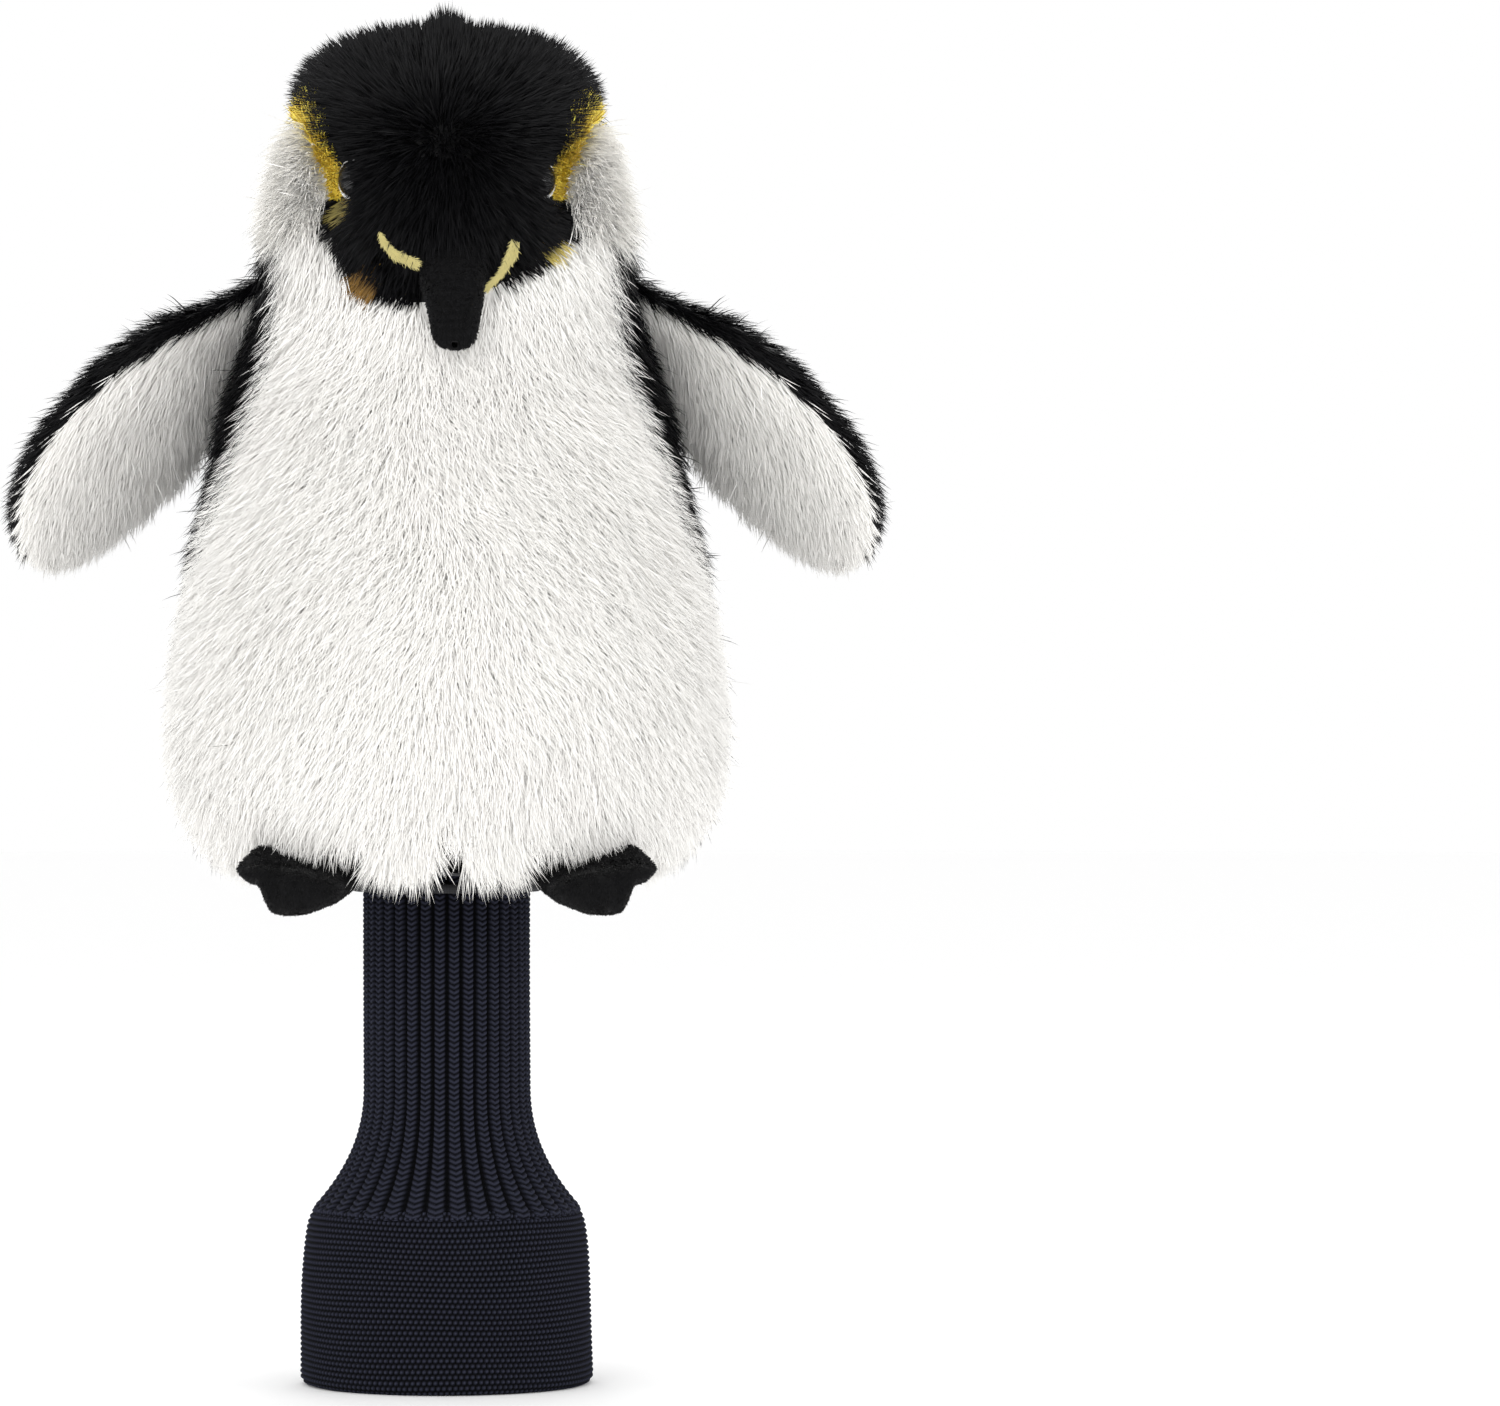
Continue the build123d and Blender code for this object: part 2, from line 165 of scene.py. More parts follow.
def flipper_grid(rows=90, columns=96):
    """The left flipper's points and normals. Columns start at its rear edge and go over the outer side."""
    root, chord, span = flipper_axes()
    share, shift, half_chord, half_thickness = smooth_rows(FLIPPER_STATIONS, rows).T[:, :, None]
    face = unit(np.cross(span, chord))
    turn = np.linspace(0, 2 * math.pi, columns, endpoint=False)[None, :]
    twist = np.radians(FLIPPER_TWIST) * np.clip(share / 0.45, 0, 1)[..., None]
    chord, face = chord * np.cos(twist) - face * np.sin(twist), face * np.cos(twist) + chord * np.sin(twist)
    along = (share * FLIPPER_LENGTH)[..., None] * span
    across = (shift + 1.05 * half_chord * np.cos(turn))[..., None] * chord
    thick = (half_thickness * np.sin(turn))[..., None] * face
    points = root + along + across + thick
    return points, grid_normals(points)


def grid_triangles(rows, columns):
    r, c = np.meshgrid(np.arange(rows - 1), np.arange(columns), indexing="ij")
    a = (r * columns + c).ravel()
    b = (r * columns + (c + 1) % columns).ravel()
    return np.vstack([np.stack([a, b, b + columns], 1), np.stack([a, b + columns, a + columns], 1)])


def scatter(flat, flat_normals, tri, density, rng):
    """Random places spread evenly over triangles, density to a square millimetre, and their normals."""
    a, b, c = flat[tri[:, 0]], flat[tri[:, 1]], flat[tri[:, 2]]
    area = np.linalg.norm(np.cross(b - a, c - a), axis=1)
    count = int(density * area.sum() / 2)
    pick = rng.choice(len(tri), count, p=area / area.sum())
    u, v = rng.random(count), rng.random(count)
    over = u + v > 1
    u[over], v[over] = 1 - u[over], 1 - v[over]
    w = np.stack([1 - u - v, u, v], 1)[..., None]
    place = (flat[tri[pick]] * w).sum(1)
    normal = unit((flat_normals[tri[pick]] * w).sum(1))
    return place, normal


def inside(outline, x, y):
    """Whether each point lies inside a closed outline."""
    hit = np.zeros(len(x), bool)
    ring = np.array(outline, float)
    for (x0, y0), (x1, y1) in zip(ring, np.roll(ring, -1, axis=0)):
        crosses = (y0 > y) != (y1 > y)
        with np.errstate(divide="ignore", invalid="ignore"):
            reach = (x1 - x0) * (y - y0) / (y1 - y0) + x0
        hit ^= crosses & (x < reach)
    return hit


def plush_region(p):
    """Which panel each point of the plush belongs to."""
    x, y, z = p.T
    seam = np.interp(z, *np.array(SIDE_SEAM).T)
    chin = np.interp(x, *np.array(CHIN_LINE).T)
    region = np.where(y < seam, "belly", "back").astype("<U6")
    region[z > chin] = "head"
    for mid_x, mid_z, half_x, half_z, _ in CHIN_TUFTS:
        near = ((x - mid_x) / half_x) ** 2 + ((z - mid_z) / half_z) ** 2 < 1
        region[near & (y < -5) & (region == "head")] = "chin"
    region[inside(EAR_BAND, y, z)] = "band"
    region[inside(EAR_PATCH, y, z)] = "patch"
    return region


def waves(p, size, phase):
    """A smooth random-looking field between -1 and 1, for the lie of the fur."""
    k = 2 * math.pi / size
    x, y, z = (p * k).T
    a = np.sin(x + 1.7 * np.sin(0.6 * z + phase) + phase)
    b = np.sin(1.3 * z + 1.9 * np.sin(0.7 * y + 2.1 * phase) + 0.5 * phase)
    c = np.sin(0.9 * y + 1.4 * np.sin(0.8 * x + phase) - phase)
    return (a + b + c) / 3


def across_surface(direction, normal):
    return unit(direction - (direction * normal).sum(1, keepdims=True) * normal)


class Pelt:
    """Skin triangles and fur strands that become one mesh, each with its own small cell in the UV map."""

    def __init__(self):
        self.vertices, self.normals, self.colours = [], [], []
        self.faces, self.count, self.cells = [], 0, 0

    def add(self, vertices, normals, colours, faces):
        """Faces come as groups of one size, with their corners' places in a cell. Each row has a cell."""
        self.vertices.append(vertices)
        self.normals.append(normals)
        self.colours.append(colours)
        for group, corners in faces:
            self.faces.append((group + self.count, np.array(corners, float), self.cells))
        self.count += len(vertices)
        self.cells += max(len(group) for group, corners in faces)

    def object(self, name, material, mirrored=False):
        mesh = bpy.data.meshes.new(name)
        flip = np.array((-1, 1, 1)) if mirrored else np.ones(3)
        turn = slice(None, None, -1) if mirrored else slice(None)
        loops = np.concatenate([group[:, turn].ravel() for group, _, _ in self.faces])
        sizes = np.concatenate([np.full(len(group), group.shape[1]) for group, _, _ in self.faces])
        places = np.concatenate(self.vertices) * flip * MM
        mesh.vertices.add(self.count)
        mesh.vertices.foreach_set("co", places.astype(np.float32).ravel())
        mesh.loops.add(len(loops))
        mesh.loops.foreach_set("vertex_index", loops.astype(np.int32))
        mesh.polygons.add(len(sizes))
        mesh.polygons.foreach_set("loop_start", (np.cumsum(sizes) - sizes).astype(np.int32))
        mesh.polygons.foreach_set("use_smooth", np.ones(len(sizes), bool))
        mesh.update(calc_edges=True)
        across = math.ceil(math.sqrt(self.cells))
        uv = []
        for group, corners, first in self.faces:
            cell = first + np.arange(len(group))
            corner = np.stack([cell % across, cell // across], 1)[:, None] + 0.15 + 0.7 * corners[turn]
            uv.append(corner.reshape(-1, 2) / across)
        layer = mesh.uv_layers.new(name="OFBake")
        layer.uv.foreach_set("vector", np.concatenate(uv).astype(np.float32).ravel())
        colour = mesh.color_attributes.new("Pile", "FLOAT_COLOR", "POINT")
        rgba = np.ones((self.count, 4), np.float32)
        rgba[:, :3] = np.concatenate(self.colours)
        colour.data.foreach_set("color", rgba.ravel())
        shading = (np.concatenate(self.normals) * flip).astype(np.float32)
        mesh.normals_split_custom_set_from_vertices(shading)
        piece = bpy.data.objects.new(name, mesh)
        bpy.context.scene.collection.objects.link(piece)
        mesh.materials.append(material)
        return piece


STRAND_AT = np.array((0, 0.38, 0.74, 1))


def grow(pelt, place, normal, comb, style, colour, rng):
    """Adds tapering ribbons, one a strand: they rise from the skin, follow the comb and gather in tufts."""
    n = len(place)
    if not n:
        return
    length = (style["length"] * rng.uniform(0.72, 1.15, n))[:, None]
    lift = np.radians(style["lift"] + rng.normal(0, style.get("lift_spread", 9), n))[:, None]
    stray = rng.random(n) < style.get("stray", 0.03)
    lift[stray] += 0.45
    sideways = np.cross(normal, comb)
    comb = unit(comb + sideways * rng.normal(0, style.get("fan", 0.2), (n, 1)))
    s = STRAND_AT[None, :, None]
    rise = np.sin(lift)[:, None] * s * (1 - 0.25 * s)
    run = np.cos(lift)[:, None] * s * (0.75 + 0.25 * s)
    line = place[:, None] + length[:, None] * (rise * normal[:, None] + run * comb[:, None])
    line = line + (rng.normal(0, style.get("frizz", 0.5), (n, 1, 3)) * s**1.5)
    if style.get("clump", 0):
        cell = np.floor((place + rng.uniform(0, 1, 3) * 9) / style["clump"]).astype(np.int64)
        key = cell @ np.array((73856093, 19349663, 83492791))
        _, group = np.unique(key, return_inverse=True)
        total = np.bincount(group)[:, None]
        tips = np.stack([np.bincount(group, line[:, -1, i]) for i in range(3)], 1) / total
        pull = style.get("gather", 0.45) * rng.uniform(0.3, 1, (n, 1, 1)) * s**2
        pull = np.where(stray[:, None, None], 0, pull)
        line = line + (tips[group][:, None] - line[:, -1:]) * pull
    along = unit(line[:, 1] - line[:, 0])
    twist = rng.uniform(-1, 1, n)[:, None] * style.get("twist", 1.0)
    flat = unit(np.cross(along, normal))
    edge = unit(flat * np.cos(twist) + np.cross(along, flat) * np.sin(twist))
    half = style["width"] / 2 * rng.uniform(0.7, 1.25, (n, 1, 1)) * np.array((1, 0.9, 0.6))[None, :, None]
    left = line[:, :3] - edge[:, None] * half
    right = line[:, :3] + edge[:, None] * half
    pairs = np.stack([left, right], 2).reshape(n, 6, 3)
    vertices = np.concatenate([pairs, line[:, 3:]], 1)
    soft = style.get("soft", 0.8)
    blade = unit(np.cross(edge, along))
    blade *= np.sign((blade * normal).sum(1, keepdims=True) + 1e-9)
    shading = unit(normal * soft + blade * (1 - soft))
    fade = np.array((0, 0, 1, 1, 2, 2, 3))
    # Painted light along each strand: the factor at the root darkens it as painted shade deep in the pile,
    # and the factor at the tip lightens it as painted sheen.
    root_shade_tip_sheen = np.interp(STRAND_AT, (0, 0.5, 1), style.get("root_shade_tip_sheen", (0.7, 1, 1)))[fade]
    tint = rng.normal(1, style.get("mottle", 0.05), (n, 1, 1))
    shades = np.clip(colour[:, None, :] * root_shade_tip_sheen[None, :, None] * tint, 0, 1)
    base = (np.arange(n) * 7)[:, None]
    faces = [
        (base + (0, 1, 3, 2), [(0, 0), (1, 0), (1, 0.38), (0, 0.38)]),
        (base + (2, 3, 5, 4), [(0, 0.38), (1, 0.38), (1, 0.74), (0, 0.74)]),
        (base + (4, 5, 6), [(0, 0.74), (1, 0.74), (0.5, 1)]),
    ]
    pelt.add(vertices.reshape(-1, 3), np.repeat(shading, 7, 0), shades.reshape(-1, 3), faces)


def lay_skin(pelt, flat, normals, tri, colour):
    """Adds the backing of a panel: the triangles named, of a grid that is already sunk under the pile."""
    used, index = np.unique(tri, return_inverse=True)
    faces = [(index.reshape(-1, 3), [(0, 0), (1, 0), (0, 1)])]
    pelt.add(flat[used], normals[used], np.tile(colour, (len(used), 1)), faces)


# ---------------------------------------------------------------- materials
def node(tree, kind, **inputs):
    made = tree.nodes.new(kind)
    for name, value in inputs.items():
        made.inputs[name.replace("_", " ")].default_value = value
    return made


def new_material(name, **constants):
    """A material with a Principled shader, and its node tree and shader."""
    material = bpy.data.materials.new(name)
    material.use_nodes = True
    shader = material.node_tree.nodes["Principled BSDF"]
    for socket, value in constants.items():
        shader.inputs[socket.replace("_", " ")].default_value = value
    return material, material.node_tree, shader


def pile_material(name, strength=0.25, scale=420, **constants):
    """Fur, velour or yarn: the colour made with each strand, broken up by a fine noise."""
    material, tree, shader = new_material(name, **constants)
    strand = tree.nodes.new("ShaderNodeAttribute")
    strand.attribute_name = "Pile"
    noise = node(tree, "ShaderNodeTexNoise", Scale=scale, Detail=3.0)
    level = node(tree, "ShaderNodeMapRange", To_Min=1 - strength, To_Max=1 + strength)
    mix = tree.nodes.new("ShaderNodeVectorMath")
    mix.operation = "MULTIPLY"
    tree.links.new(noise.outputs["Fac"], level.inputs["Value"])
    tree.links.new(strand.outputs["Color"], mix.inputs[0])
    tree.links.new(level.outputs["Result"], mix.inputs[1])
    tree.links.new(mix.outputs[0], shader.inputs["Base Color"])
    return material


def cloth_material(name, colour, thread=0.8, **constants):
    """Plain woven cloth, a grid of threads in relief, painted darker where the relief is low as shade
    between the threads.
    """
    material, tree, shader = new_material(name, Roughness=0.85, **constants)
    place = tree.nodes.new("ShaderNodeTexCoord")
    threads = []
    for direction in ("X", "Z"):
        wave = node(tree, "ShaderNodeTexWave", Scale=0.314 / (thread * MM), Distortion=0.6)
        wave.bands_direction = direction
        tree.links.new(place.outputs["Object"], wave.inputs["Vector"])
        threads.append(wave)
    weave = tree.nodes.new("ShaderNodeMath")
    weave.operation = "MAXIMUM"
    ramp = tree.nodes.new("ShaderNodeValToRGB")
    # Painted shade: the low places of the weave get 0.45 of the cloth's colour.
    ramp.color_ramp.elements[0].color = (*[c * 0.45 for c in colour], 1)
    ramp.color_ramp.elements[1].color = (*colour, 1)
    bump = node(tree, "ShaderNodeBump", Strength=0.5, Distance=0.15 * MM)
    tree.links.new(threads[0].outputs["Fac"], weave.inputs[0])
    tree.links.new(threads[1].outputs["Fac"], weave.inputs[1])
    tree.links.new(weave.outputs[0], ramp.inputs["Fac"])
    tree.links.new(weave.outputs[0], bump.inputs["Height"])
    tree.links.new(ramp.outputs["Color"], shader.inputs["Base Color"])
    tree.links.new(bump.outputs["Normal"], shader.inputs["Normal"])
    return material


def plastic_material(name, colour, roughness):
    """Moulded plastic with faint unevenness in its polish."""
    material, tree, shader = new_material(name, Specular_IOR_Level=0.6)
    shader.inputs["Base Color"].default_value = (*colour, 1)
    noise = node(tree, "ShaderNodeTexNoise", Scale=300.0, Detail=2.0)
    level = node(tree, "ShaderNodeMapRange", To_Min=roughness * 0.8, To_Max=roughness * 1.3)
    tree.links.new(noise.outputs["Fac"], level.inputs["Value"])
    tree.links.new(level.outputs["Result"], shader.inputs["Roughness"])
    return material


WHITE = np.array((0.91, 0.897, 0.868))
BLACK = np.array((0.0036, 0.0036, 0.0042))
YELLOW = np.array((0.98, 0.76, 0.09))
GOLD = np.array((0.62, 0.36, 0.03))
PALE_YELLOW = np.array((0.56, 0.49, 0.19))
KNIT = np.array((0.0052, 0.0056, 0.009))

white_fur = pile_material("white_fur", strength=0.03, Roughness=0.8, Specular_IOR_Level=0.1,
                          Sheen_Weight=0.3, Sheen_Roughness=0.5)
black_fur = pile_material("black_fur", Roughness=0.4, Specular_IOR_Level=0.14)
yellow_fur = pile_material("yellow_fur", strength=0.12, Roughness=0.65, Sheen_Weight=0.2)
velour = pile_material("black_velour", Roughness=0.85, Specular_IOR_Level=0.1, Sheen_Weight=0.05)
knit = pile_material("dark_knit", strength=0.4, scale=900, Roughness=0.85, Specular_IOR_Level=0.08)
cloth = cloth_material("backing_cloth", (0.02, 0.02, 0.023))
lining = cloth_material("lining_cloth", (0.05, 0.05, 0.055), thread=0.5)
eye_black = plastic_material("eye_black", (0.004, 0.004, 0.005), 0.05)
# The rim is a real ring; its pale grey is partly painted highlight.
eye_rim_grey_and_highlight = plastic_material("eye_rim_grey_and_highlight", (0.85, 0.86, 0.87), 0.2)

SLOTS = {
    "belly": ("white_fur", white_fur),
    "back": ("black_fur", black_fur),
    "head": ("black_fur", black_fur),
    "patch": ("white_fur", white_fur),
    "band": ("yellow_fur", yellow_fur),
    "chin": ("yellow_fur", yellow_fur),
}

# ---------------------------------------------------------------- plush fur
# root_shade_tip_sheen gives each strand's colour factor at root, middle and tip: below 1 at the root is
# painted shade in the pile, above 1 at the tip is painted sheen.
STYLES = {
    "belly": dict(length=16, lift=36, width=0.34, clump=9, gather=0.14, frizz=0.6, fan=0.3, soft=1,
                  twist=0.3, root_shade_tip_sheen=(1, 1, 1), mottle=0.006, density=2.4),
    "back": dict(length=16, lift=36, width=0.42, clump=5, gather=0.4, frizz=0.6, fan=0.2, soft=0.2,
                 root_shade_tip_sheen=(0.45, 0.9, 1.3), mottle=0.2, density=1.35),
    "head": dict(length=14, lift=46, width=0.38, clump=4.5, gather=0.35, frizz=0.6, fan=0.2, soft=0.2,
                 root_shade_tip_sheen=(0.45, 0.9, 1.3), mottle=0.2, density=1.9),
    "patch": dict(length=17, lift=50, width=0.38, clump=6, gather=0.15, frizz=0.8, fan=0.3, soft=0.5,
                  twist=0.5, root_shade_tip_sheen=(1, 1, 1), mottle=0.006, density=2.8),
    "band": dict(length=9, lift=58, width=0.42, clump=3, gather=0.3, frizz=0.9, fan=0.6, soft=0.75,
                 root_shade_tip_sheen=(0.85, 1, 1.05), mottle=0.08, density=3.6),
    "chin": dict(length=9.5, lift=38, width=0.4, clump=4, gather=0.4, frizz=0.5, fan=0.3, soft=0.7,
                 root_shade_tip_sheen=(0.45, 0.9, 1.1), mottle=0.12, density=2),
}
TUFT_COLOURS = {"gold": (0.22, 0.11, 0.008), "olive": (0.2, 0.16, 0.03), "pale": (0.5, 0.4, 0.08)}
# The ear patch's white is 1.07 times the belly's: painted light, lifting the shade its upright strands cast
# on each other.
REGION_COLOUR = {
    "belly": WHITE, "back": BLACK, "head": BLACK, "patch": WHITE * 1.07, "band": YELLOW, "chin": GOLD,
}


def along_line(line, share):
    """The point that far along a line of points."""
    line = np.array(line, float)
    at = share * (len(line) - 1)
    return [np.interp(at, range(len(line)), line[:, i]) for i in range(line.shape[1])]


def eye_distance(p):
    """How far each point is from the nearer eye's axis."""
    folded = np.array(p)
    folded[:, 0] = np.abs(folded[:, 0])
    offset = folded - EYE_CENTRE
    along = offset @ EYE_NORMAL
    return np.linalg.norm(offset - along[:, None] * EYE_NORMAL, axis=1) + 99 * (along < -20)


def skin_depth(p):
    """How far the backing lies below the mid-pile form; it sinks into a socket round each eye."""
    outer_side = np.clip((np.abs(p[:, 0]) - 25) / 5, 0, 1)
    return SKIN_DEPTH + 6 * outer_side * np.exp(-(eye_distance(p) / 11) ** 2)


def plush_comb(region, p, normal):
    """Which way the pile of a region lies at each point."""
    x, y, z = p.T
    one = np.ones(len(p))
    drift = waves(p, 70, 0.4)
    ripple = waves(p, 26, 1.9)
    if region == "belly":
        flow = np.stack([0.006 * x + 0.35 * drift + 0.2 * ripple, 0.1 * ripple, -one], 1)
        seam = np.interp(z, *np.array(SIDE_SEAM).T)
        near = np.exp(-((seam - y) / 14) ** 2) * np.clip((135 - z) / 30, 0, 1)
        flow += near[:, None] * np.stack([0.5 * np.sign(x), 0.7 * one, 0.2 * one], 1)
    elif region == "back":
        flow = np.stack([0.12 * drift + 0.1 * ripple, 0.1 * ripple, -one], 1)
        seam = np.interp(z, *np.array(SIDE_SEAM).T)
        near = np.exp(-((y - seam) / 9) ** 2) * np.clip((z - 95) / 10, 0, 1)
        flow += near[:, None] * np.stack([0.2 * np.sign(x), -0.6 * one, 0 * one], 1)
    elif region in ("head", "chin"):
        flow = unit(p - WHORL)
        behind = np.clip((y + 10) / 40, 0, 1)
        flow = flow * (1 - behind)[:, None] + np.stack([0 * x, 0.2 * one, -one], 1) * behind[:, None]
        whorl = np.exp(-((np.linalg.norm(p - WHORL, axis=1) / 18) ** 2))
        rise = 0.2 * ripple + 0.9 * whorl * drift - 0.4 * whorl
        flow += np.stack([0.2 * drift + 0.9 * whorl * ripple, 0 * x, rise], 1)
        beside_eye = np.exp(-((eye_distance(p) / 12) ** 2))
        flow += beside_eye[:, None] * np.stack([1.2 * np.sign(x), -0.5 * one, 0 * one], 1)
    elif region == "patch":
        ahead = np.clip((-12 - y) / 10, 0, 1)
        flow = np.stack([0.3 * np.sign(x), 0.02 * (y + 7) - 0.5 * ahead, 0.02 * (z - 226) - 0.25], 1)
    else:
        flow = np.stack([0.4 * np.sign(x), 0.06 * (y + 8), 0.06 * (z - 212)], 1)
        flow += 0.25 * np.stack([ripple, drift, -ripple], 1)
    return across_surface(flow, normal)


def above_hem(p):
    """Leaves out what is below the hem, over a foot or in the parting at the front."""
    x, y, z = p.T
    over_foot = (np.abs(x) > FOOT_SPAN[0]) & (np.abs(x) < FOOT_SPAN[1]) & (y < BAY_LINE[-1][0])
    hem = np.where(over_foot, np.interp(y, *np.array(BAY_LINE).T), np.where(y < -14, -4, 2))
    parting = (y < 0) & (np.abs(x) < np.clip((12 - z) * 0.5, 0, 6))
    return (z > hem) & ~parting


def brow(p):
    """The fur on the beak's side of each eye, which hangs in front of it."""
    apart = eye_distance(p)
    return (np.abs(p[:, 0]) < EYE_CENTRE[0] - 3) & (p[:, 1] < EYE_CENTRE[1]) & (apart < 15)


def edge_distance(outline, x, y):
    """How far each point is from a closed outline."""
    ring = np.array(outline, float)
    found = np.full(len(x), 1e3)
    p = np.stack([x, y], 1)
    for a, b in zip(ring, np.roll(ring, -1, axis=0)):
        t = np.clip((p - a) @ (b - a) / ((b - a) @ (b - a)), 0, 1)[:, None]
        found = np.minimum(found, np.linalg.norm(p - a - t * (b - a), axis=1))
    return found


def strand_size(region, p, lift):
    """Share of the full length, and the lift, for the strands of a region."""
    x, y, z = p.T
    reach = np.clip((eye_distance(p) - 3) / 14, 0.3, 1)
    reach[brow(p)] = 1.02
    if region == "head":
        over_chin = np.clip((z - np.interp(x, *np.array(CHIN_LINE).T)) / 11, 0.5, 1)
        reach *= np.where(y < -8, over_chin, 1)
        by_band = np.clip(0.5 + edge_distance(EAR_BAND, y, z) / 8, 0.5, 1)
        reach *= np.where((y < -16) & (z < 234) & (z > 204), by_band, 1)
        reach *= 1 + 0.4 * np.exp(-((x / 5) ** 2)) * np.clip((z - 250) / 4, 0, 1)
        whorl = np.exp(-((np.linalg.norm(p - WHORL, axis=1) / 15) ** 2))
        lift = lift + 22 * np.clip((z - 238) / 14, 0, 1) + 34 * whorl
    if region == "back":
        beside = np.clip((14 - y) / 16, 0, 1) * np.clip((100 - z) / 12, 0, 1)
        reach *= 1 - 0.35 * beside
        lift = lift - 16 * beside
    return reach, lift


def region_colours(region, p):
    """The colour of each strand; each tuft under the face has its own."""
    colours = np.tile(REGION_COLOUR[region], (len(p), 1)).astype(float)
    if region == "chin":
        for mid_x, mid_z, half_x, half_z, name in CHIN_TUFTS:
            near = ((p[:, 0] - mid_x) / half_x) ** 2 + ((p[:, 2] - mid_z) / half_z) ** 2 < 1.4
            colours[near] = TUFT_COLOURS[name]
    return colours


def clear_of_face(p):
    """Leaves out the strands that would stand in an eye, in the beak or through a bill stripe."""
    x, y, z = p.T
    keep = (eye_distance(p) > 6) | (brow(p) & (eye_distance(p) > 4))
    keep &= ~((np.abs(x - 2) < 10.5) & (z < 187) & (z > 168) & (y < 0))
    for stripe in BILL_STRIPES:
        for at in np.linspace(0, 1, 8):
            sx, sz = along_line(stripe, at)
            keep &= ~((np.hypot(x - sx, z - sz) < 2.2) & (y < 0))
    return keep


def make_plush_fur():
    """The fur of each panel of the plush, a left and a right piece each."""
    points, normals = plush_grid()
    flat, flat_normals = points.reshape(-1, 3), normals.reshape(-1, 3)
    tri = grid_triangles(*points.shape[:2])
    middle = flat[tri].mean(1)
    tri_region = plush_region(middle)
    tri_region[~above_hem(middle)] = "none"
    sunk = flat - flat_normals * skin_depth(flat)[:, None]
    rng = np.random.default_rng(SEED)
    made = {}
    for region, style in STYLES.items():
        place, normal = scatter(flat, flat_normals, tri, style["density"], rng)
        if region == "head":
            more, more_normal = scatter(flat, flat_normals, tri, 2.2 * style["density"], rng)
            on_brow = brow(more)
            place, normal = np.vstack([place, more[on_brow]]), np.vstack([normal, more_normal[on_brow]])
        keep = (plush_region(place) == region) & above_hem(place) & clear_of_face(place)
        place, normal = place[keep], normal[keep]
        root = place - normal * skin_depth(place)[:, None]
        hang = np.clip((16 - place[:, 2]) / 18, 0, 1)[:, None]
        normal = unit(normal * (1, 1, 0) * hang + normal * (1 - hang))
        comb = plush_comb(region, place, normal)
        reach, raised = strand_size(region, place, style["lift"] - 12 * hang[:, 0])
        colours = region_colours(region, place)
        for side in ("left", "right"):
            mine = (place[:, 0] >= 0) == (side == "left")
            under = tri[(tri_region == region) & ((middle[:, 0] >= 0) == (side == "left"))]
            pelt = Pelt()
            # The backing takes the strands' root factor: painted shade under the pile.
            lay_skin(pelt, sunk, flat_normals, under, REGION_COLOUR[region] * style["root_shade_tip_sheen"][0])
            trimmed = dict(style, length=style["length"] * reach[mine], lift=raised[mine])
            grow(pelt, root[mine], normal[mine], comb[mine], trimmed, colours[mine], rng)
            slot, material = SLOTS[region]
            piece = pelt.object(f"{region}_fur_{side}", material)
            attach(piece, "plush")
            made[region, side] = piece
    return made


plush_fur = make_plush_fur()
for side in ("left", "right"):
    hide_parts(f"back_panel_{side}")
    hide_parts(f"head_panel_{side}")
    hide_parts(f"ear_patch_{side}")
    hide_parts(f"ear_band_{side}")
    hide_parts(f"chin_band_{side}")
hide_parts("belly_panel", "body_padding")
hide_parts("head_stuffing")


# ---------------------------------------------------------------- flippers
FLIPPER_STYLE = dict(length=13, lift=36, width=0.42, clump=5, gather=0.4, frizz=0.6, fan=0.25, density=1.6)
# The black side's strands are painted dark at the root as shade and lighter at the tip as sheen.
FLIPPER_SIDES = {
    "outer": (BLACK, "black_fur", black_fur, dict(soft=0.35, root_shade_tip_sheen=(0.45, 0.9, 1.3), mottle=0.2)),
    "inner": (WHITE, "white_fur", white_fur, dict(soft=0.6, twist=0.5, root_shade_tip_sheen=(1, 1, 1), mottle=0.006)),
}


